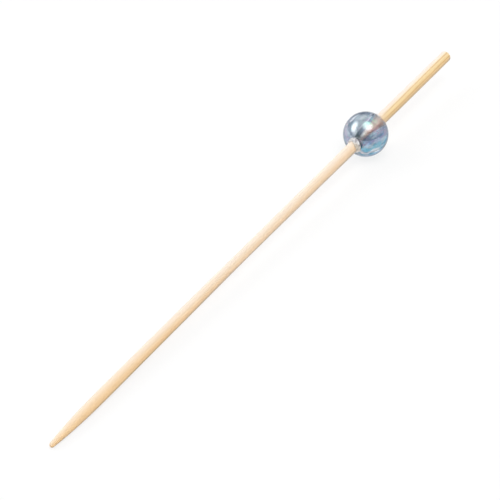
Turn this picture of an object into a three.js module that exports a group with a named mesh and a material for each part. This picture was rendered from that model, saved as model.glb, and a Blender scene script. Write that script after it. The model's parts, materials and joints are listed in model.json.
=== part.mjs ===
// A bead skewer: a pointed bamboo stick with one round clear bead glued on near its blunt end.
// Millimetres, +Z up. It lies as it does on a table, the plane z = 0: on its bead and on the shoulder
// of its point, with the point towards -X and the blunt end a little raised towards +X.
// The origin is on the table, under the middle of the skewer's bounding box.

import * as THREE from "three";

// Stick
const STICK_LENGTH = 150;
const STICK_DIAMETER = 2.5;
const POINT_LENGTH = 18; // ground point, from the tip to the full diameter
const POINT_FULLNESS = 2.4; // 1 gives a straight cone, and more a rounder shoulder
const TIP_RADIUS = 0.5; // the tip is rounded off, not needle sharp
const END_ROUNDING = 0.3; // edge of the sawn blunt end

// Bead
const BEAD_DIAMETER = 10;
const BEAD_CENTRE_FROM_BLUNT_END = 35;
const BORE_LIP_RADIUS = 0.15; // rounded edge where the bore breaks out of the bead

// Glue that holds the bead: a sleeve in the bore's mouth on the point's side, and a collar outside it
const GLUE_FILM = 0.2; // room between the stick and the bore, all round
const GLUE_CLEARANCE = 0.02; // from the glue to the stick and to the bead
const GLUE_DEPTH = 2; // from the mouth into the bore
const COLLAR_LENGTH = 0.6; // along the stick, from the bead to the collar's thin edge
const COLLAR_WIDTH = 0.35; // out from the stick, where the collar meets the bead

// Fineness of the round shapes
const SIDES = 48;
const TIP_STEPS = 4;
const POINT_STEPS = 10;
const END_STEPS = 3;
const BEAD_STEPS = 30;
const LIP_STEPS = 3;
const COLLAR_STEPS = 5;

const stickRadius = STICK_DIAMETER / 2;
const beadRadius = BEAD_DIAMETER / 2;
const boreRadius = stickRadius + GLUE_FILM;
const beadCentre = STICK_LENGTH - BEAD_CENTRE_FROM_BLUNT_END; // along the stick, from the tip

const bamboo = new THREE.MeshStandardMaterial({
  name: "bamboo",
  color: 0xecc892,
  roughness: 0.6,
  metalness: 0,
});
const clearBlue = new THREE.MeshStandardMaterial({
  name: "clear_blue",
  color: 0xa6c8e0,
  roughness: 0.04,
  metalness: 0,
  transparent: true,
  opacity: 0.45,
});
const clearGlue = new THREE.MeshStandardMaterial({
  name: "clear_glue",
  color: 0xf2efe6,
  roughness: 0.3,
  metalness: 0,
  transparent: true,
  opacity: 0.7,
});

// Points on an arc in the (along, out) half plane; the angle is measured from the +along direction.
function arc(centreAlong, centreOut, radius, from, to, steps) {
  const points = [];
  for (let i = 0; i <= steps; i += 1) {
    const angle = from + ((to - from) * i) / steps;
    points.push({
      along: centreAlong + radius * Math.cos(angle),
      out: centreOut + radius * Math.sin(angle),
    });
  }
  return points;
}

// Turns a profile about the X axis. A flat side faces straight down, so that the shape lies steady.
function turned(profile) {
  const points = profile.map((p) => new THREE.Vector2(p.out, p.along));
  const geometry = new THREE.LatheGeometry(points, SIDES, Math.PI / SIDES);
  return geometry.rotateZ(-Math.PI / 2);
}

// The ground point: a round tip, then a full curve that runs out flush into the stick.
function pointProfile() {
  const points = arc(TIP_RADIUS, 0, TIP_RADIUS, Math.PI, Math.PI / 2, TIP_STEPS);
  points[0].out = 0;
  for (let i = 1; i <= POINT_STEPS; i += 1) {
    const left = 1 - i / POINT_STEPS;
    points.push({
      along: POINT_LENGTH - (POINT_LENGTH - TIP_RADIUS) * left,
      out: stickRadius - (stickRadius - TIP_RADIUS) * left ** POINT_FULLNESS,
    });
  }
  return points;
}

function stickProfile() {
  const edgeAlong = STICK_LENGTH - END_ROUNDING;
  const edgeOut = stickRadius - END_ROUNDING;
  const edge = arc(edgeAlong, edgeOut, END_ROUNDING, Math.PI / 2, 0, END_STEPS);
  return [...pointProfile(), ...edge, { along: STICK_LENGTH, out: 0 }];
}

// Centre of a bore lip, along from the middle of the bead: the lip touches the bore and the outside.
function lipCentre() {
  return Math.sqrt((beadRadius - BORE_LIP_RADIUS) ** 2 - (boreRadius + BORE_LIP_RADIUS) ** 2);
}

// The bead's section: the round outside, the two rounded lips and the straight bore, closed on itself.
function beadProfile() {
  const lipAlong = lipCentre();
  const lipOut = boreRadius + BORE_LIP_RADIUS;
  const lipAngle = Math.atan2(lipOut, lipAlong);
  const pointSide = Math.PI - lipAngle;
  const pointLip = arc(-lipAlong, lipOut, BORE_LIP_RADIUS, 1.5 * Math.PI, pointSide, LIP_STEPS);
  const outside = arc(0, 0, beadRadius, pointSide, lipAngle, BEAD_STEPS);
  const endLip = arc(lipAlong, lipOut, BORE_LIP_RADIUS, lipAngle, -0.5 * Math.PI, LIP_STEPS);
  return [...pointLip, ...outside.slice(1, -1), ...endLip, pointLip[0]];
}

// The set glue round the stick, measured along from the middle of the bead. The sleeve fills the
// bore's mouth, and the collar bulges out of it against the bead and thins down to the stick.
function glueProfile() {
  const mouth = -lipCentre() - BORE_LIP_RADIUS;
  const innerEnd = mouth + GLUE_DEPTH;
  const seat = mouth - GLUE_CLEARANCE;
  const inside = stickRadius + GLUE_CLEARANCE;
  const outside = boreRadius - GLUE_CLEARANCE;
  const rise = COLLAR_WIDTH - GLUE_CLEARANCE;
  const quarter = arc(0, 0, 1, Math.PI, Math.PI / 2, COLLAR_STEPS); // stretched to the collar's size
  const collar = quarter.map((p) => ({
    along: seat + COLLAR_LENGTH * p.along,
    out: inside + rise * p.out,
  }));
  return [
    ...collar,
    { along: seat, out: outside },
    { along: innerEnd, out: outside },
    { along: innerEnd, out: inside },
    collar[0],
  ];
}

function piece(name, profile, material, along) {
  const mesh = new THREE.Mesh(turned(profile), material);
  mesh.name = name;
  mesh.position.x = along;
  return mesh;
}

// How far the skewer leans when its bead and one station of the stick touch the table: the least
// lean over all stations on the point's side of the bead is the one at which it comes to rest.
function restingLean() {
  const leans = stickProfile()
    .filter((p) => p.along < beadCentre)
    .map((p) => {
      const reach = beadCentre - p.along;
      return Math.asin(beadRadius / Math.hypot(reach, p.out)) - Math.atan2(p.out, reach);
    });
  return Math.min(...leans);
}

const skewer = new THREE.Group();
skewer.add(piece("bamboo_stick", stickProfile(), bamboo, 0));
skewer.add(piece("bead", beadProfile(), clearBlue, beadCentre));
skewer.add(piece("glue_bond", glueProfile(), clearGlue, beadCentre));
skewer.rotation.y = -restingLean();

const box = new THREE.Box3().setFromObject(skewer, true);
skewer.position.set(-(box.min.x + box.max.x) / 2, 0, -box.min.z);

const beadSkewer = new THREE.Group();
beadSkewer.name = "bead_skewer";
beadSkewer.add(skewer);

export default beadSkewer;
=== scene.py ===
import json
import math
import bpy
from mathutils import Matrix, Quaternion, Vector


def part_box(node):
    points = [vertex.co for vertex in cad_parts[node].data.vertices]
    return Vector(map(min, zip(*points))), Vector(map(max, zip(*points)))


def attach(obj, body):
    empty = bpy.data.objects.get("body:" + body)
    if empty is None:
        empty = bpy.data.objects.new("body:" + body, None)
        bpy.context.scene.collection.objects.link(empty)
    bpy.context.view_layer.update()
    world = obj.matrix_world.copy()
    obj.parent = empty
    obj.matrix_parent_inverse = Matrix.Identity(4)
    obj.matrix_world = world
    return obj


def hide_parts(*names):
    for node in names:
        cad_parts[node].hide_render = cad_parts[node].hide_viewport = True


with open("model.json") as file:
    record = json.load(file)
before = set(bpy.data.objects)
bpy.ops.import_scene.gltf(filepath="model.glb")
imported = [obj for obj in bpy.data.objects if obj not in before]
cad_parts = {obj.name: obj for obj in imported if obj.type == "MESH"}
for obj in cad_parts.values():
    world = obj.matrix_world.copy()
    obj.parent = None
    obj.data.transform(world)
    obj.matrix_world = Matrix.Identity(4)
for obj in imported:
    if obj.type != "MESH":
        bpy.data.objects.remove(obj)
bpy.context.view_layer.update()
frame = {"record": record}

mm = 0.001
mergeWithin = 0.0005 * mm  # vertices closer than this are made one
blunt = frame["record"]["mounts"][0]  # the flat blunt end: its centre, and the way the stick points
along = Vector(blunt["axis"]).normalized()
bluntEnd = Vector(blunt["pos_m"])
lean = math.asin(along.z)  # the blunt end lies a little higher than the point
beadLow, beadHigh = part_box("bead")
beadAt = (Vector(beadLow) + Vector(beadHigh)) / 2
stickEnd = (bluntEnd - beadAt).dot(along) / mm  # the blunt end, in millimetres from the bead's middle


# Shader maths: a wrapped socket that Python's operators work on, and one call for any other node.
class Socket:
    def __init__(self, tree, socket=None):
        self.tree, self.socket = tree, socket

    def node(self, kind, settings=None, inputs=None, output=0):
        made = self.tree.nodes.new("ShaderNode" + kind)
        for name, value in (settings or {}).items():
            if name == "stops":
                self.setStops(made.color_ramp, value)
            else:
                setattr(made, name, value)
        for name, value in (inputs or {}).items():
            if isinstance(value, Socket):
                self.tree.links.new(value.socket, made.inputs[name])
            else:
                made.inputs[name].default_value = value
        return Socket(self.tree, made.outputs[output])

    def setStops(self, ramp, stops):
        while len(ramp.elements) > 1:
            ramp.elements.remove(ramp.elements[-1])
        for index, (place, colour) in enumerate(stops):
            stop = ramp.elements[0] if index == 0 else ramp.elements.new(place)
            stop.position, stop.color = place, (*colour, 1)

    def math(self, operation, first, second=0.0):
        return self.node("Math", {"operation": operation}, {0: first, 1: second})

    def __add__(self, other):
        return self.math("ADD", self, other)

    def __sub__(self, other):
        return self.math("SUBTRACT", self, other)

    def __rsub__(self, other):
        return self.math("SUBTRACT", other, self)

    def __mul__(self, other):
        return self.math("MULTIPLY", self, other)

    __radd__ = __add__
    __rmul__ = __mul__


def mixColours(factor, first, second):  # each colour is a socket, or red, green and blue
    first, second = [c if isinstance(c, Socket) else (*c, 1) for c in (first, second)]
    return factor.node("Mix", {"data_type": "RGBA"}, {0: factor, 6: first, 7: second}, 2)


def spread(value, low, high):  # 0 below low, 1 above high, smooth between them
    inputs = {"Value": value, "From Min": low, "From Max": high}
    return value.node("MapRange", {"interpolation_type": "SMOOTHSTEP"}, inputs)


def band(value, begins, full, fullTo, ends):  # 1 from full to fullTo, 0 outside, smooth between them
    return spread(value, begins, full) * (1 - spread(value, fullTo, ends))


def newMaterial(name):
    material = bpy.data.materials.new(name)
    material.use_nodes = True
    material.node_tree.nodes.clear()
    return material, Socket(material.node_tree)


def finishMaterial(start, shader):
    out = start.tree.nodes.new("ShaderNodeOutputMaterial")
    start.tree.links.new(shader.socket, out.inputs["Surface"])


# Modelling helpers
def clearSelection():
    if bpy.context.object and bpy.context.object.mode != "OBJECT":
        bpy.ops.object.mode_set(mode="OBJECT")
    bpy.ops.object.select_all(action="DESELECT")


def turnProfile(name, points, steps):
    # A plane is merged to one vertex, drawn out along the profile and spun about the stick's axis.
    clearSelection()
    bpy.ops.mesh.primitive_plane_add(size=mm, location=(0, 0, 0))
    piece = bpy.context.object
    piece.name = name
    bpy.ops.object.mode_set(mode="EDIT")
    bpy.ops.mesh.select_all(action="SELECT")
    bpy.ops.mesh.merge(type="CENTER")
    bpy.ops.transform.translate(value=(points[0][0], 0, points[0][1]))
    for (x0, r0), (x1, r1) in zip(points, points[1:]):
        step = {"value": (x1 - x0, 0, r1 - r0)}
        bpy.ops.mesh.extrude_vertices_move(TRANSFORM_OT_translate=step)
    bpy.ops.mesh.select_all(action="SELECT")
    bpy.ops.mesh.spin(steps=steps, angle=2 * math.pi, center=(0, 0, 0), axis=(1, 0, 0))
    bpy.ops.mesh.select_all(action="SELECT")
    bpy.ops.mesh.remove_doubles(threshold=mergeWithin)
    bpy.ops.mesh.normals_make_consistent(inside=False)
    bpy.ops.object.mode_set(mode="OBJECT")
    return piece


def selectVertices(piece, wanted):
    clearSelection()
    piece.select_set(True)
    bpy.context.view_layer.objects.active = piece
    bpy.ops.object.mode_set(mode="EDIT")
    bpy.ops.mesh.select_mode(type="VERT")
    bpy.ops.mesh.select_all(action="DESELECT")
    bpy.ops.object.mode_set(mode="OBJECT")
    for vertex in piece.data.vertices:
        vertex.select = wanted(vertex.co)
    bpy.ops.object.mode_set(mode="EDIT")


def laySkewer(piece, start, smoothAngle=50):
    # The piece was modelled along X from the origin; here it goes to its place on the table.
    clearSelection()
    piece.select_set(True)
    bpy.context.view_layer.objects.active = piece
    piece.rotation_euler = (0, -lean, 0)
    piece.location = start
    bpy.ops.object.transform_apply(location=True, rotation=True, scale=True)
    bpy.ops.object.shade_smooth_by_angle(angle=math.radians(smoothAngle))


def arcPoints(centre, radius, fromAngle, toAngle, steps):
    turn = (toAngle - fromAngle) / steps
    angles = [fromAngle + turn * i for i in range(steps + 1)]
    return [(centre[0] + radius * math.cos(a), centre[1] + radius * math.sin(a)) for a in angles]


# Bamboo stick
stickSizes = {
    "length": 149.99 * mm,
    "endGap": 0.005 * mm,  # the stick stays this far inside the frame's ends
    # The thickness comes and goes along the stick: along from the tip, thickness
    "thickness": (
        (0 * mm, 2.43 * mm),
        (20 * mm, 2.43 * mm),
        (42 * mm, 2.37 * mm),
        (67 * mm, 2.22 * mm),
        (92 * mm, 2.31 * mm),
        (108 * mm, 2.46 * mm),
        (128 * mm, 2.66 * mm),
        (140 * mm, 2.62 * mm),
        (151 * mm, 2.58 * mm),
    ),
    "pointLength": 18 * mm,
    "pointFullness": 2.5,  # 1 gives a straight cone, and more a rounder shoulder
    "tipRadius": 0.55 * mm,
    "endRounding": 0.3 * mm,
    "ringSpacing": 1 * mm,
    "bow": 0.16 * mm,  # sideways, halfway between the point and the bead
    "beadFromTip": 115 * mm,
    "endBend": 0.20 * mm,  # the blunt end leans this far to -Y
    "endBendFrom": 3 * mm,  # and the bend starts about this far past the bead's middle
    # Grooves between the fibres: turn about the stick, from and to, along from the tip
    "grooves": (
        (0.345, 106 * mm, 149 * mm),
        (0.440, 112 * mm, 149 * mm),
        (0.295, 24 * mm, 96 * mm),
        (0.475, 40 * mm, 149 * mm),
        (0.390, 20 * mm, 62 * mm),
        (0.235, 60 * mm, 149 * mm),
        (0.560, 19 * mm, 120 * mm),
        (0.660, 30 * mm, 149 * mm),
        (0.760, 22 * mm, 90 * mm),
        (0.870, 50 * mm, 149 * mm),
        (0.960, 19 * mm, 110 * mm),
        (0.100, 35 * mm, 149 * mm),
    ),
    "grooveDepth": 0.035 * mm,
    "grooveTurn": 0.011,  # half of a groove's width, in turns
    "grooveWidths": (1.0, 0.5),  # it is pressed in over its whole width, and again over half of it
    "sides": 128,
    "tipSteps": 8,
    "edgeSteps": 5,
    "faceRings": 6,  # on the flat blunt end
}


def stickRadiusAt(x, s):
    for (x0, t0), (x1, t1) in zip(s["thickness"], s["thickness"][1:]):
        if x <= x1:
            full = (t0 + (t1 - t0) * (1 - math.cos(math.pi * (x - x0) / (x1 - x0))) / 2) / 2
            break
    if x >= s["pointLength"]:
        return full
    left = (s["pointLength"] - x) / (s["pointLength"] - s["tipRadius"])
    return full - (full - s["tipRadius"]) * left ** s["pointFullness"]


def turnOf(v):  # where a vertex lies round the stick, in turns, as in the materials
    return math.atan2(v.y, v.z) / (2 * math.pi) + 0.5


def makeStick(s):
    tip = arcPoints((s["tipRadius"], 0), s["tipRadius"], math.pi, math.pi / 2, s["tipSteps"])
    tip[0] = (0, 0)
    barrelLength = s["length"] - s["endRounding"] - s["tipRadius"]
    rings = round(barrelLength / s["ringSpacing"])
    barrel = []
    for i in range(1, rings):
        x = s["tipRadius"] + i * barrelLength / rings
        barrel.append((x, stickRadiusAt(x, s)))
    endRadius = stickRadiusAt(s["length"], s)
    edgeAt = (s["length"] - s["endRounding"], endRadius - s["endRounding"])
    edge = arcPoints(edgeAt, s["endRounding"], math.pi / 2, 0, s["edgeSteps"])
    rounds = s["faceRings"]
    face = [(s["length"], edgeAt[1] * (1 - i / rounds)) for i in range(1, rounds + 1)]
    stick = turnProfile("stick_bamboo", tip + barrel + edge + face, s["sides"])
    for turn, start, end in s["grooves"]:
        for share in s["grooveWidths"]:
            selectVertices(stick, lambda v: start < v.x < end
                           and abs(turnOf(v) - turn) < s["grooveTurn"] * share)
            bpy.ops.transform.shrink_fatten(value=-s["grooveDepth"] / len(s["grooveWidths"]))
    middle = s["beadFromTip"] / 2
    withinRing = 0.6 * s["ringSpacing"]  # takes in the nearest ring, or the two beside the middle
    selectVertices(stick, lambda v: abs(v.x - middle) < withinRing)
    bpy.ops.transform.translate(value=(0, s["bow"], 0), use_proportional_edit=True,
                                proportional_edit_falloff="SMOOTH", proportional_size=middle)
    endFrom = s["length"] - 1.5 * s["endRounding"]  # takes in the end and its edge
    selectVertices(stick, lambda v: v.x > endFrom)
    bentLength = s["length"] - s["beadFromTip"] - s["endBendFrom"]
    bpy.ops.transform.translate(value=(0, -s["endBend"], 0), use_proportional_edit=True,
                                proportional_edit_falloff="LINEAR", proportional_size=bentLength)
    bpy.ops.object.mode_set(mode="OBJECT")
    laySkewer(stick, bluntEnd - along * (s["length"] + s["endGap"]), smoothAngle=20)
    print("stick modelled")
    return stick


# Bead
beadSizes = {
    "radius": 4.985 * mm,
    "boreRadius": 1.45 * mm,
    "lipRadius": 0.15 * mm,  # rounded edge where the bore breaks out
    "sides": 192,
    "outsideSteps": 110,
    "lipSteps": 6,
    "boreSteps": 24,
}


def lipCentre(b):  # along from the bead's middle, and out from the bore's axis
    out = b["boreRadius"] + b["lipRadius"]
    return math.sqrt((b["radius"] - b["lipRadius"]) ** 2 - out**2), out


def makeBead(s):
    lipAlong, lipOut = lipCentre(s)
    lipAngle = math.atan2(lipOut, lipAlong)
    lip, steps = s["lipRadius"], s["lipSteps"]
    nearLip = arcPoints((-lipAlong, lipOut), lip, 1.5 * math.pi, math.pi - lipAngle, steps)
    outside = arcPoints((0, 0), s["radius"], math.pi - lipAngle, lipAngle, s["outsideSteps"])
    farLip = arcPoints((lipAlong, lipOut), lip, lipAngle, -0.5 * math.pi, steps)
    rings = s["boreSteps"]
    bore = [(lipAlong - 2 * lipAlong * i / rings, s["boreRadius"]) for i in range(1, rings + 1)]
    bead = turnProfile("bead_clear", nearLip + outside[1:-1] + farLip + bore, s["sides"])
    laySkewer(bead, beadAt)
    print("bead modelled")
    return bead


# Glue: a sleeve in the bore's mouth on the point's side, squeezed out into a collar and a skirt
glueSizes = {
    "depth": 2.0 * mm,  # from the mouth into the bore
    "inside": 1.31 * mm,
    "outside": 1.435 * mm,
    "clear": 0.02 * mm,  # from the glue to the bead
    "collarLength": 0.45 * mm,
    "skirtRadius": 1.74 * mm,  # the squeezed-out glue lies on the outside of the bead this far out
    "skirtFrom": 0.05 * mm,  # its inner rim lies this far out from the lip's middle
    "skirtShift": 0.34 * mm,  # off the axis, up and to -Y
    "skirtTurns": (("Y", 0.75), ("Z", 0.66)),  # the shares of that shift: up, then to -Y
    "skirtRim": 0.03 * mm,  # width of the rim that is shifted whole
    "skirtReach": 0.5 * mm,  # and how far round it the rest follows
    "drip": 1.0 * mm,  # how much further the collar runs along the stick on its -Y side
    "dripSide": (-0.93, 0.36),  # which way that is across the stick: Y and up
    "dripWidth": 0.3 * mm,
    "dripOuter": 0.5,  # only this outer share of the collar is pulled out whole
    "dripReach": 1.9 * mm,
    "bulgeOuter": 0.1,  # the lumps leave this inner share of the collar smooth
    "lumps": 0.14 * mm,
    "lumpMiddle": 0.35,  # the share of the lumps' height that goes inwards
    "lumpSize": 0.45 * mm,
    "sides": 96,
    "collarSteps": 12,
    "skirtSteps": 4,
    "sleeveSteps": 12,
}


def makeGlue(s, b):
    lipAlong, lipOut = lipCentre(b)
    mouth = -lipAlong - b["lipRadius"]
    seat, rise = mouth - s["clear"], s["skirtRadius"] - s["inside"]
    on = b["radius"] + s["clear"]  # the skirt lies this far from the bead's middle
    outer, inner = math.asin(s["skirtRadius"] / on), math.asin((lipOut + s["skirtFrom"]) / on)
    rim = -on * math.cos(outer)
    quarter = arcPoints((0, 0), 1, math.pi, math.pi / 2, s["collarSteps"])
    collar = [(rim + (rim - seat + s["collarLength"]) * x, s["inside"] + rise * r) for x, r in quarter]
    under = arcPoints((0, 0), on, math.pi - outer, math.pi - inner, s["skirtSteps"])
    rings = s["sleeveSteps"]
    wall = [(seat + (s["depth"] + s["clear"]) * i / rings, s["outside"]) for i in range(rings + 1)]
    end = (mouth + s["depth"], s["inside"])
    glue = turnProfile("glue_collar", collar + under[1:] + wall + [end, collar[0]], s["sides"])
    selectVertices(glue, lambda v: math.hypot(v.y, v.z) > s["skirtRadius"] - s["skirtRim"])
    tilt = s["skirtShift"] / on
    for axis, share in s["skirtTurns"]:
        bpy.ops.transform.rotate(value=-share * tilt, orient_axis=axis, center_override=(0, 0, 0),
                                 use_proportional_edit=True, proportional_edit_falloff="SMOOTH",
                                 proportional_size=s["skirtReach"])
    across, up = s["dripSide"]
    edge = Vector((seat - s["collarLength"], across * s["inside"], up * s["inside"]))
    dripFrom = seat - s["dripOuter"] * s["collarLength"]
    selectVertices(glue, lambda v: v.x < dripFrom and (v - edge).length < s["dripWidth"])
    bpy.ops.transform.translate(value=(-s["drip"], 0, 0), use_proportional_edit=True,
                                proportional_edit_falloff="SMOOTH", proportional_size=s["dripReach"])
    selectVertices(glue, lambda v: v.x < seat - s["bulgeOuter"] * s["collarLength"])
    bpy.ops.object.mode_set(mode="OBJECT")
    bulge = glue.vertex_groups.new(name="bulge")
    bulge.add([v.index for v in glue.data.vertices if v.select], 1.0, "REPLACE")
    lumps = bpy.data.textures.new("glue_lumps", "CLOUDS")
    lumps.noise_scale = s["lumpSize"]
    displace = glue.modifiers.new("lumps", "DISPLACE")
    displace.texture = lumps
    displace.texture_coords = "LOCAL"
    displace.vertex_group = "bulge"
    displace.mid_level = s["lumpMiddle"]
    displace.strength = s["lumps"]
    bpy.ops.object.modifier_apply(modifier="lumps")
    laySkewer(glue, beadAt)
    print("glue modelled")
    return glue


# Places that the materials read
def skewerPlace(start, pace=1.0):  # millimetres from the bead's middle, with X along the stick
    place = start.node("TexCoord", output=3)
    size = (mm / pace, mm, mm)
    inputs = {"Vector": place, "Location": beadAt, "Rotation": (0, -lean, 0), "Scale": size}
    return start.node("Mapping", {"vector_type": "TEXTURE"}, inputs)


def alongSkewer(start):
    return start.node("SeparateXYZ", None, {0: skewerPlace(start)}, 0)


def turnAbout(start):
    place = skewerPlace(start)
    side = place.node("SeparateXYZ", None, {0: place}, 1)
    height = place.node("SeparateXYZ", None, {0: place}, 2)
    return side.math("ARCTAN2", side, height) * (0.5 / math.pi) + 0.5


def clouds(start, scale, detail, pace=1.0):  # a pace of 0.1 draws them out ten times along the stick
    inputs = {"Vector": skewerPlace(start, pace), "Scale": scale, "Detail": detail}
    return start.node("TexNoise", None, inputs)


# Marks: each has its colour, its share where it is strongest, and ranges for where it lies. A range
# reads along the skewer in millimetres from the bead's middle, round it in turns, the level of its
# clouds, or facing, which is 0 square on and 1 at the outline. Turn 0 is the side facing the table, a
# quarter is -Y, a half is up and three quarters is +Y. A plain range says where the mark begins, is
# full, is full to and has ended; From has the first two, To has the last two, and Not is left out.
def maskOf(mark, **values):
    mask = 1
    for name, value in values.items():
        if name in mark:
            mask = mask * band(value, *mark[name])
        if name + "From" in mark:
            mask = mask * spread(value, *mark[name + "From"])
        if name + "To" in mark:
            mask = mask * (1 - spread(value, *mark[name + "To"]))
        if name + "Not" in mark:
            mask = mask * (1 - band(value, *mark[name + "Not"]))
    return mask


def painted(under, mark, **values):
    if "clouds" in mark:
        values["level"] = clouds(under, *mark["clouds"])
    return mixColours(maskOf(mark, **values) * mark["share"], under, mark["colour"])


# Bamboo: round the stick the tone goes from pale to golden, partly the wood's own tone; the paler top is
# also painted sheen, and the dark band low on the -Y side is painted shade.
bambooLook = {
    # Painted light and shade round the shaft: a pale sheen on top, dark shade low on the -Y side
    "shaft": (
        (0.00, (0.86, 0.60, 0.32)),
        (0.15, (0.38, 0.25, 0.13)),
        (0.215, (0.42, 0.27, 0.14)),
        (0.25, (0.62, 0.40, 0.20)),
        (0.29, (0.88, 0.58, 0.30)),
        (0.33, (0.89, 0.59, 0.31)),
        (0.36, (0.96, 0.66, 0.37)),
        (0.39, (0.99, 0.73, 0.46)),
        (0.44, (0.92, 0.72, 0.51)),
        (0.50, (0.90, 0.74, 0.59)),
        (0.66, (0.84, 0.70, 0.59)),
        (0.78, (0.88, 0.70, 0.48)),
        (1.00, (0.86, 0.60, 0.32)),
    ),
    # The same painted light and shade near the blunt end, with darker lines along the grain
    "bluntPart": (
        (0.00, (0.86, 0.60, 0.32)),
        (0.15, (0.55, 0.39, 0.22)),
        (0.22, (0.62, 0.42, 0.21)),
        (0.28, (0.78, 0.52, 0.26)),
        (0.305, (0.90, 0.62, 0.30)),
        (0.33, (0.72, 0.45, 0.18)),
        (0.358, (0.97, 0.70, 0.35)),
        (0.395, (1.00, 0.79, 0.45)),
        (0.425, (0.80, 0.54, 0.27)),
        (0.455, (0.98, 0.82, 0.58)),
        (0.49, (0.96, 0.81, 0.69)),
        (0.54, (0.90, 0.74, 0.66)),
        (0.66, (0.85, 0.73, 0.65)),
        (0.78, (0.90, 0.72, 0.50)),
        (1.00, (0.86, 0.60, 0.32)),
    ),
    "bluntPartFrom": (2.0, 10.0),  # its tones take over here, along
    "ragged": 60,  # how far that border shifts for one turn of wander, in millimetres
    "wander": 0.06,  # how far the tones wander round the stick, in turns
    "broadClouds": (1.1, 2.0, 0.04),
    "fibreClouds": (5.0, 4.0, 0.04),
    "fibreHeight": 0.05 * mm,
    "fibreStrength": 0.5,
    "roughness": 0.42,
    "pale": {"colour": (0.97, 0.86, 0.76), "share": 0.30, "alongFrom": (-85.0, -45.0)},  # towards the bead
    "golden": {"colour": (0.95, 0.70, 0.38), "share": 0.35, "levelFrom": (0.50, 0.75)},
    "fibre": {"colour": (0.80, 0.54, 0.28), "share": 0.35, "levelFrom": (0.55, 0.75)},
    # The ground point shows the golden inner wood, less of it on top. Its "along" is from the tip.
    "point": {"colour": (0.94, 0.64, 0.33), "share": 0.25, "alongTo": (14.0, 34.0)},
    "pointTop": (0.45, 0.75),
    "pointLess": 0.6,
    # Inside the bead the stick is painted paler on top and rosier and darker low down: painted light and
    # shade on the stick seen through the bead.
    "inBead": {"share": 0.85, "along": (-4.5, -3.5, 4.2, 4.9)},
    "inBeadTop": (1.00, 0.88, 0.80),
    "inBeadLow": (0.84, 0.54, 0.44),
    "inBeadTurn": (0.33, 0.45),
    # The sawn end has a darker edge low down and shows its bundles. Here "along" is from that end.
    "endEdge": {"colour": (0.50, 0.40, 0.28), "share": 0.6, "alongFrom": (-1.6, -0.3),
                "roundTo": (0.22, 0.36)},
    "endGrain": {"colour": (0.50, 0.33, 0.17), "share": 0.8, "alongFrom": (-0.10, -0.02),
                 "levelTo": (0.25, 0.42)},
    "bundleScale": 4.5,
    "bundlePace": 0.05,
}


def bambooMaterial(look):
    material, start = newMaterial("bamboo")
    fibres = clouds(start, *look["fibreClouds"])
    broad = clouds(start, *look["broadClouds"])
    wander = (broad - 0.5) * look["wander"]
    x = alongSkewer(start)
    fromEnd = x - stickEnd
    fromTip = fromEnd + stickSizes["length"] / mm
    turn = turnAbout(start) + wander
    shaft = start.node("ValToRGB", {"stops": look["shaft"]}, {0: turn})
    bluntPart = start.node("ValToRGB", {"stops": look["bluntPart"]}, {0: turn})
    tone = painted(shaft, look["pale"], along=x)
    tone = mixColours(spread(x + wander * look["ragged"], *look["bluntPartFrom"]), tone, bluntPart)
    tone = painted(tone, look["golden"], level=broad)
    tone = painted(tone, look["fibre"], level=fibres)
    point = look["point"]
    onPoint = maskOf(point, along=fromTip) * (1 - spread(turn, *look["pointTop"]) * look["pointLess"])
    tone = mixColours(onPoint * point["share"], tone, point["colour"])
    inBeadLightAndShade = mixColours(spread(turn, *look["inBeadTurn"]), look["inBeadLow"], look["inBeadTop"])
    tone = mixColours(maskOf(look["inBead"], along=x) * look["inBead"]["share"], tone, inBeadLightAndShade)
    tone = painted(tone, look["endEdge"], along=fromEnd, round=turn)
    bundles = start.node("TexVoronoi", None, {
        "Vector": skewerPlace(start, look["bundlePace"]), "Scale": look["bundleScale"]})
    tone = painted(tone, look["endGrain"], along=fromEnd, level=bundles)
    bump = start.node("Bump", None, {
        "Height": fibres, "Strength": look["fibreStrength"], "Distance": look["fibreHeight"]})
    shader = start.node("BsdfPrincipled", None, {
        "Base Color": tone, "Roughness": look["roughness"], "Normal": bump})
    finishMaterial(start, shader)
    return material
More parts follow.
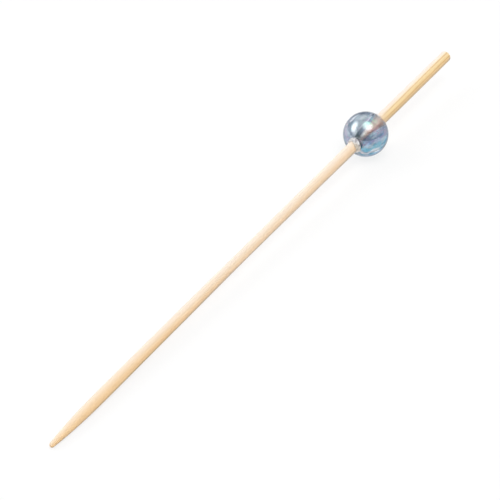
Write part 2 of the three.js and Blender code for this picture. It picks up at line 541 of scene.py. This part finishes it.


# Bead: clear, under a thin coat whose blue wash goes round it in strips along the bore. The wash is partly
# the coat's tint and partly painted shade: its darkest strips stand in for shadowed floor and dark
# surroundings seen through the bead.
beadLook = {
    # Painted shade in the wash: its darkest stops, near turns 0.15 and 0.6
    "wash": (
        (0.00, (0.28, 0.38, 0.50)),
        (0.14, (0.10, 0.16, 0.24)),
        (0.18, (0.10, 0.17, 0.26)),
        (0.205, (0.14, 0.26, 0.40)),
        (0.25, (0.14, 0.30, 0.44)),
        (0.335, (0.14, 0.25, 0.42)),
        (0.358, (0.68, 0.43, 0.45)),
        (0.385, (1.00, 0.80, 0.75)),
        (0.41, (0.99, 0.94, 0.90)),
        (0.43, (0.96, 0.97, 0.91)),
        (0.485, (0.80, 0.83, 0.86)),
        (0.53, (0.40, 0.45, 0.55)),
        (0.57, (0.12, 0.16, 0.26)),
        (0.63, (0.10, 0.15, 0.25)),
        (0.70, (0.26, 0.34, 0.46)),
        (0.77, (0.21, 0.28, 0.40)),
        (0.88, (0.22, 0.31, 0.42)),
        (1.00, (0.28, 0.38, 0.50)),
    ),
    "streakClouds": (0.9, 3.0, 0.25),
    "streak": 0.10,  # how far the strips wander, in turns
    "drift": 0.05,  # on the upper side they lie this much lower towards the blunt end, in turns
    "driftPlace": {"alongFrom": (-2.0, 1.5), "roundFrom": (0.44, 0.50)},
    "marks": (
        # Dark lines along the bore, on the -Y side: painted shadow streaks, for shadows on the floor seen
        # through the bead
        {"colour": (0.01, 0.05, 0.14), "share": 1.0, "clouds": (1.5, 2.0, 0.10), "levelTo": (0.44, 0.50),
         "round": (0.10, 0.18, 0.31, 0.35)},
        # Painted shade round the glue, dark teal, left out above it
        {"colour": (0.11, 0.21, 0.31), "share": 0.85, "clouds": (1.2, 3.0), "levelFrom": (0.50, 0.56),
         "alongTo": (-3.9, -2.9), "roundNot": (0.36, 0.40, 0.58, 0.62)},
        # The same painted shade close to the glue, on the upper -Y side
        {"colour": (0.11, 0.21, 0.31), "share": 0.7, "alongTo": (-3.90, -3.35),
         "round": (0.33, 0.37, 0.485, 0.505)},
        # A pale violet patch on the far side of the glue
        {"colour": (0.66, 0.66, 0.86), "share": 0.7, "along": (-4.4, -4.0, -3.6, -2.6),
         "round": (0.57, 0.60, 0.66, 0.70)},
        # Mottling on the far side of the stick, teal and violet
        {"colour": (0.22, 0.46, 0.55), "share": 0.5, "clouds": (0.8, 2.0), "levelFrom": (0.50, 0.60),
         "round": (0.50, 0.54, 0.74, 0.80)},
        {"colour": (0.66, 0.66, 0.86), "share": 0.3, "clouds": (0.8, 2.0), "levelTo": (0.38, 0.47),
         "round": (0.50, 0.54, 0.74, 0.80)},
        # The darkest part, at the top: painted shade, for dark surroundings seen through the bead
        {"colour": (0.03, 0.06, 0.13), "share": 0.85, "alongFrom": (-1.6, -0.2),
         "round": (0.50, 0.54, 0.62, 0.68)},
        # A pale place under the stick's near end: painted light
        {"colour": (0.85, 0.93, 1.00), "share": 0.8, "along": (-3.4, -2.9, -2.2, -1.6),
         "round": (0.325, 0.345, 0.37, 0.385)},
    ),
    # A near-clear band low down, which climbs between the glue and the bead's middle: painted light, a pale
    # crescent on the bead's underside; the coat's film there is the thinner one.
    "paintedCrescent": {"colour": (0.96, 0.99, 1.00), "share": 0.95, "alongTo": (-2.4, -1.2),
               "round": (0.100, 0.118, 0.142, 0.162)},
    "paintedCrescentClimb": 0.08,  # in turns
    "paintedCrescentClimbs": (-4.3, -3.1),  # along
    # Towards the outline the wash darkens: partly the coat seen at a slant, partly painted shade at the
    # rim.
    "outline": {"colour": (0.08, 0.13, 0.22), "share": 0.75, "facingFrom": (0.52, 0.82),
                "alongTo": (2.0, 3.2)},
    # The coat's thickness in nanometres: the first two come and go in patches, and then there are strips
    # with more, given as film, share and where round the bead.
    "films": (60.0, 180.0, 260.0, 385.0, 470.0),
    "patchClouds": (0.9, 2.0, 0.25),
    "patchLevel": (0.42, 0.54),
    "strips": (
        (260.0, 0.4, (0.27, 0.30, 0.345, 0.37)),
        (260.0, 0.6, (0.62, 0.66, 0.74, 0.78)),
        (385.0, 0.35, (0.345, 0.37, 0.405, 0.425)),
        (470.0, 0.9, (0.405, 0.425, 0.48, 0.50)),
    ),
    "stripWander": 0.5,  # the share of the wash's wander that these strips have
    "upper": (0.36, 0.44, 0.62, 0.70),  # the bead's upper side, round
    "coatEdge": (-0.6, 0.8),  # on the upper side the film fades out here, along
    "worn": (0.55, 0.75),  # towards the outline the film is lost, facing
    "wornShare": 0.8,
    "ior": 1.42,  # puts the stick that shows through the bead in its place
    "filmIor": 2.1,
    "waveClouds": (0.45, 2.0),
    "waveHeight": 0.02 * mm,
    "boreRoughness": 0.16,
    "boreClouds": (1.5, 2.0, 0.3),
    "boreHeight": 0.02 * mm,
    "wetted": 1.7 * mm,  # how far the glue's white flecks, partly painted glints, cover the bore's wall, from the outside of the bead
}


def coatedShader(start, look, tint, film, bump):
    return start.node("BsdfPrincipled", None, {
        "Base Color": tint, "Roughness": 0.0, "IOR": look["ior"], "Normal": bump,
        "Transmission Weight": 1.0, "Thin Film Thickness": film, "Thin Film IOR": look["filmIor"]})


def bareShader(start, look, tint, roughness, bump):
    return start.node("BsdfPrincipled", None, {
        "Base Color": tint, "Roughness": roughness, "IOR": look["ior"], "Normal": bump,
        "Transmission Weight": 1.0})


def beadMaterial(look):
    material, start = newMaterial("clear_blue")
    turn = turnAbout(start)
    x = alongSkewer(start)
    facing = start.node("LayerWeight", None, {"Blend": 0.5}, 1)
    wander = (clouds(start, *look["streakClouds"]) - 0.5) * (2 * look["streak"])
    drift = maskOf(look["driftPlace"], along=x, round=turn) * look["drift"]
    wash = start.node("ValToRGB", {"stops": look["wash"]}, {0: turn + wander + drift})
    for mark in look["marks"]:
        wash = painted(wash, mark, along=x, round=turn)
    slanted = turn - spread(x, *look["paintedCrescentClimbs"]) * look["paintedCrescentClimb"]
    wash = painted(wash, look["paintedCrescent"], along=x, round=slanted)
    wash = painted(wash, look["outline"], along=x, facing=facing)
    waves = clouds(start, *look["waveClouds"])
    bump = start.node("Bump", None, {"Height": waves, "Strength": 1.0, "Distance": look["waveHeight"]})
    films = {film: coatedShader(start, look, wash, film, bump) for film in look["films"]}
    thin, usual = look["films"][:2]
    upper = band(turn, *look["upper"])
    paintedCrescent = maskOf(look["paintedCrescent"], along=x, round=slanted)
    patches = spread(clouds(start, *look["patchClouds"]), *look["patchLevel"]) * (1 - upper) * (1 - paintedCrescent)
    coated = start.node("MixShader", None, {0: patches, 1: films[thin], 2: films[usual]})
    for film, share, place in look["strips"]:
        here = band(turn + wander * look["stripWander"], *place)
        coated = start.node("MixShader", None, {0: here * share, 1: coated, 2: films[film]})
    bare = bareShader(start, look, wash, 0.0, bump)
    worn = spread(facing, *look["worn"]) * look["wornShare"]
    uncoated = worn.math("MAXIMUM", spread(x, *look["coatEdge"]) * upper, worn)
    shader = start.node("MixShader", None, {0: uncoated, 1: coated, 2: bare})
    finishMaterial(start, shader)
    return material


def boreMaterial(look):
    material, start = newMaterial("clear_blue_bore")
    drillMarks = clouds(start, *look["boreClouds"])
    bump = start.node("Bump", None, {"Height": drillMarks, "Strength": 1.0, "Distance": look["boreHeight"]})
    finishMaterial(start, bareShader(start, look, (1, 1, 1, 1), look["boreRoughness"], bump))
    return material


glueLook = {
    # White and grey flecks on a milky glue; the white flecks are partly painted glints.
    "white": (0.88, 0.88, 0.89),
    "grey": (0.44, 0.42, 0.45),
    "speckle": (1.9, 1.0),
    "speckleLevel": (0.42, 0.58),
    "speckleHeight": 0.08 * mm,
    # The stick shows through the glue's thin end.
    "thin": {"colour": (0.86, 0.74, 0.56), "share": 0.6, "alongTo": (-5.85, -5.35)},
    "roughness": 0.18,
    "ior": 1.48,
    "clearness": 0.25,
    "coatRoughness": 0.05,
    "wallRoughness": 0.3,
}


def speckledTone(speckle, look):
    return mixColours(spread(speckle, *look["speckleLevel"]), look["grey"], look["white"])


def glueMaterial(look):
    material, start = newMaterial("clear_glue")
    speckle = clouds(start, *look["speckle"])
    tone = painted(speckledTone(speckle, look), look["thin"], along=alongSkewer(start))
    bump = start.node("Bump", None, {
        "Height": speckle, "Strength": 1.0, "Distance": look["speckleHeight"]})
    shader = start.node("BsdfPrincipled", None, {
        "Base Color": tone, "Roughness": look["roughness"], "IOR": look["ior"],
        "Transmission Weight": look["clearness"], "Coat Weight": 1.0,
        "Coat Roughness": look["coatRoughness"], "Normal": bump})
    finishMaterial(start, shader)
    return material


# The bore's wall by the mouth gets the glue's flecks, opaque: partly glue, partly painted glints.
def gluedWallMaterial(look):
    material, start = newMaterial("glued_wall")
    tone = speckledTone(clouds(start, *look["speckle"]), look)
    shader = start.node("BsdfPrincipled", None, {"Base Color": tone, "Roughness": look["wallRoughness"]})
    finishMaterial(start, shader)
    return material


stick = makeStick(stickSizes)
bead = makeBead(beadSizes)
glue = makeGlue(glueSizes, beadSizes)
stick.data.materials.append(bambooMaterial(bambooLook))
for material in (beadMaterial(beadLook), boreMaterial(beadLook), gluedWallMaterial(glueLook)):
    bead.data.materials.append(material)
glue.data.materials.append(glueMaterial(glueLook))
boreSlot, gluedSlot = 1, 2  # the bead's slots after its outside
for face in bead.data.polygons:
    reach = face.center - beadAt
    x = reach.dot(along)
    out = (reach - along * x).length
    if out < beadSizes["boreRadius"] + beadSizes["lipRadius"]:
        face.material_index = gluedSlot if x < beadLook["wetted"] - beadSizes["radius"] else boreSlot
print("materials made")

pieces = (
    (stick, "bamboo_stick", "bamboo"),
    (bead, "bead", "clear_blue"),
    (glue, "glue_bond", "clear_glue"),
)
for piece, node, slot in pieces:
    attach(piece, "root")
    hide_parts(node)


# Floor, light and camera
studio = {
    "floorSize": 12.0,
    "paper": (0.95, 0.95, 0.95),
    "floorGlow": 0.8,  # share of plain white in the floor as the camera sees it; the rest holds the shadow
    "wall": 0.38,  # brightness of the surroundings low down
    "ceiling": 0.27,
    "wallTop": (0.10, 0.40),  # how steeply up the one goes over into the other
    "lightDistance": 4.0,
}
# Soft boxes: "share" is the part of the floor's light that each one gives, and "fade" is where its glow
# starts to fade, from 0 in its middle to 0.5 at its edge.
softBoxes = {
    "light_overhead": {"to": (-0.094, -0.217, 0.973), "size": (5.0, 5.0), "share": 0.55, "fade": 0.05},
    "light_side": {"to": (-0.311, 0.758, 0.574), "size": (3.5, 4.8), "share": 0.19, "fade": 0.05,
                   "turn": 60},  # degrees about its own direction
    "light_back": {"to": (0.515, 0.615, 0.596), "size": (6.0, 4.8), "share": 0.12, "fade": 0.15},
    "light_front": {"to": (0.20, -0.86, 0.47), "size": (5.4, 4.0), "share": 0.045, "fade": 0.0},
    "light_left": {"to": (-0.62, 0.66, 0.42), "size": (4.0, 3.0), "share": 0.03, "fade": 0.10},
    "light_right": {"to": (0.749, -0.159, 0.643), "size": (4.1, 3.0), "share": 0.052, "fade": 0.20},
    "light_low": {"to": (0.47, 0.86, 0.19), "size": (3.4, 1.5), "share": 0.0105, "fade": 0.20},
    "light_lowFront": {"to": (0.69, -0.70, 0.17), "size": (3.4, 1.6), "share": 0.004, "fade": 0.20},
}


def makeFloor():
    clearSelection()
    bpy.ops.mesh.primitive_plane_add(size=studio["floorSize"], location=(0, 0, 0))
    floor = bpy.context.object
    floor.name = "floor"
    material, start = newMaterial("floor_white")
    paper = start.node("BsdfDiffuse", None, {"Color": (*studio["paper"], 1)})
    white = start.node("Emission", None, {"Strength": 1.0})
    seen = [start.node("LightPath", output=name) for name in (
        "Is Camera Ray", "Is Glossy Ray", "Is Transmission Ray")]
    glow = seen[0] + seen[1] + seen[2]
    glow = glow.math("MINIMUM", glow, 1.0)
    shader = start.node("MixShader", None, {0: glow * studio["floorGlow"], 1: paper, 2: white})
    finishMaterial(start, shader)
    floor.data.materials.append(material)


def makeLight(name, box):
    away = Vector(box["to"]).normalized()
    wide, high = box["size"]
    data = bpy.data.lights.new(name, "AREA")
    data.shape = "RECTANGLE"
    data.size, data.size_y = wide, high
    data.use_nodes = True
    tree = data.node_tree
    start = Socket(tree)
    place = start.node("NewGeometry", output=5)  # 0 to 1 over the lamp's face, both ways
    fromMiddle = place.node("VectorMath", {"operation": "DISTANCE"}, {0: place, 1: (0.5, 0.5, 0)}, 1)
    lamp = start.node("Emission", None, {"Strength": 1 - spread(fromMiddle, box["fade"], 0.5)})
    out = [node for node in tree.nodes if node.type == "OUTPUT_LIGHT"][0]
    tree.links.new(lamp.socket, out.inputs["Surface"])
    core, rim = box["fade"], 0.5 - box["fade"]
    average = 2 * math.pi * (core**2 / 2 + rim * (core / 2 + 0.15 * rim))  # 0.15 for the smooth fade
    solid = wide * high / studio["lightDistance"] ** 2
    radiance = box["share"] * math.pi / (solid * away.z * average)
    data.energy = radiance * math.pi * wide * high
    light = bpy.data.objects.new(name, data)
    bpy.context.collection.objects.link(light)
    light.location = away * studio["lightDistance"]
    facing = away.to_track_quat("Z", "Y") @ Quaternion((0, 0, 1), math.radians(box.get("turn", 0)))
    light.rotation_euler = facing.to_euler()


def makeWorld():
    world = bpy.data.worlds.new("studio")
    bpy.context.scene.world = world
    world.use_nodes = True
    world.node_tree.nodes.clear()
    start = Socket(world.node_tree)
    height = start.node("SeparateXYZ", None, {0: start.node("TexCoord")}, 2)
    strength = spread(height, *studio["wallTop"]) * (studio["ceiling"] - studio["wall"]) + studio["wall"]
    background = start.node("Background", None, {"Color": (1, 1, 1, 1), "Strength": strength})
    out = world.node_tree.nodes.new("ShaderNodeOutputWorld")
    world.node_tree.links.new(background.socket, out.inputs["Surface"])


cameraView = {
    "azimuth": -56.82,
    "elevation": 37.81,
    "distance": 500 * mm,
    "aim": (-6.83 * mm, -0.37 * mm, 3.5 * mm),
    "lens": 174.7,
    "sensor": 36,
}


def makeCamera(view):
    a, e = math.radians(view["azimuth"]), math.radians(view["elevation"])
    back = Vector((math.sin(a) * math.cos(e), -math.cos(a) * math.cos(e), math.sin(e)))
    data = bpy.data.cameras.new("camera")
    data.lens = view["lens"]
    data.sensor_width = view["sensor"]
    camera = bpy.data.objects.new("camera", data)
    bpy.context.collection.objects.link(camera)
    camera.location = Vector(view["aim"]) + back * view["distance"]
    camera.rotation_euler = back.to_track_quat("Z", "Y").to_euler()
    bpy.context.scene.camera = camera


makeFloor()
for name, softBox in softBoxes.items():
    makeLight(name, softBox)
makeWorld()
makeCamera(cameraView)
bpy.context.scene.view_settings.view_transform = "Standard"
print("studio ready")
